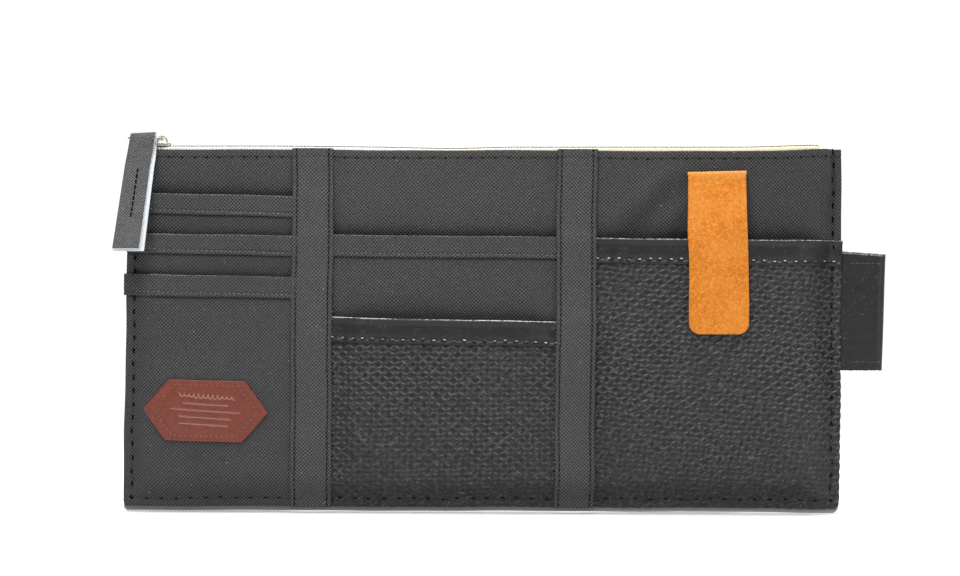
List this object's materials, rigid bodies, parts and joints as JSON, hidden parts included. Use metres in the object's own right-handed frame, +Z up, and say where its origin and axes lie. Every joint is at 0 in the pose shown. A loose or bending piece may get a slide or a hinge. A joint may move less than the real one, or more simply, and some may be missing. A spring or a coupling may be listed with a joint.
{
  "type": "car sun visor organiser",
  "caption": "Flat zipped fabric pouch that straps to a sun visor, with card slots, mesh pockets, a magnetic suede glasses clip and a pen loop.",
  "frame": {"origin": "centre of the back panel's outer face, which lies against the sun visor", "axes": "+X along the long side towards the pen loop, +Y out of the back towards the visor, +Z up to the zip"},
  "size_m": [0.3457, 0.029, 0.1692],
  "materials": {
    "panel_fabric": "dark grey coated woven fabric with a fine diagonal emboss",
    "band_fabric": "dark grey coated woven fabric, a shade lighter",
    "lining_fabric": "smooth dark lining cloth",
    "stiffener": "thin flexible board",
    "pocket_mesh": "black honeycomb mesh",
    "coated_binding": "glossy black coated fabric",
    "patch_leather": "reddish brown smooth leather",
    "suede": "orange suede",
    "magnet": "plain disc",
    "elastic": "black woven elastic",
    "zip_tape": "cream woven tape",
    "zip_coil": "gold coil",
    "zip_metal": "nickel finish",
    "ring_metal": "pale gold wire",
    "pull_fabric": "grey coated fabric with a pale core"
  },
  "bodies": {
    "pouch": {"rear_panel": "panel_fabric", "front_panel": "panel_fabric", "card_slot_1": "panel_fabric", "card_slot_2": "panel_fabric", "card_slot_3": "panel_fabric", "card_slot_binding_1": "panel_fabric", "card_slot_binding_2": "panel_fabric", "card_slot_binding_3": "panel_fabric", "slip_pocket": "panel_fabric", "slip_pocket_binding": "panel_fabric", "divider_band_left": "band_fabric", "divider_band_right": "band_fabric", "rear_lining": "lining_fabric", "stiffener_board": "stiffener", "mid_mesh_pocket": "pocket_mesh", "right_mesh_pocket": "pocket_mesh", "mid_mesh_binding": "coated_binding", "right_mesh_binding": "coated_binding", "pen_loop_tail": "coated_binding", "leather_patch": "patch_leather", "clip_back_leaf": "suede", "clip_fold": "suede", "clip_panel_magnet": "magnet", "visor_strap_left_ends": "elastic", "visor_strap_right_ends": "elastic", "zip_tape_front": "zip_tape", "zip_tape_rear": "zip_tape", "zip_coil_front": "zip_coil", "zip_coil_rear": "zip_coil", "zip_stops": "zip_metal"},
    "clip_flap": {"clip_flap": "suede", "clip_flap_magnet": "magnet"},
    "pen_loop": {"pen_loop": "coated_binding"},
    "visor_strap_left": {"visor_strap_left": "elastic"},
    "visor_strap_right": {"visor_strap_right": "elastic"},
    "slider": {"zip_slider": "zip_metal"},
    "pull_ring": {"pull_ring": "ring_metal"},
    "pull_strap": {"pull_strap": "pull_fabric"}
  },
  "joints": [
    {"name": "zip_slide", "type": "slide", "parent": "pouch", "child": "slider", "axis": [1, 0, 0], "range_m": [0, 0.287]},
    {"name": "ring_swing", "type": "hinge", "parent": "slider", "child": "pull_ring", "pos_m": [-0.1434, -0.0051, 0.0859], "axis": [0, 1, 0], "range_deg": [-4, 150]},
    {"name": "pull_swing", "type": "hinge", "parent": "pull_ring", "child": "pull_strap", "pos_m": [-0.1517, -0.0109, 0.0859], "axis": [-1, 0, 0], "range_deg": [-3, 160]},
    {"name": "clip_lift", "type": "hinge", "parent": "pouch", "child": "clip_flap", "pos_m": [0.1059, -0.0098, 0.0696], "axis": [-1, 0, 0], "range_deg": [0, 150], "deforming": ["clip_fold"]},
    {"name": "pen_loop_flex", "type": "hinge", "parent": "pouch", "child": "pen_loop", "pos_m": [0.16015, -0.0005, 0.0081], "axis": [0, 0, 1], "range_deg": [-50, 50], "stiffness_Nm_per_rad": 0.01},
    {"name": "visor_strap_left_stretch", "type": "slide", "parent": "pouch", "child": "visor_strap_left", "axis": [0, 1, 0], "range_m": [0, 0.014], "stiffness_N_per_m": 150},
    {"name": "visor_strap_right_stretch", "type": "slide", "parent": "pouch", "child": "visor_strap_right", "axis": [0, 1, 0], "range_m": [0, 0.014], "stiffness_N_per_m": 150}
  ]
}
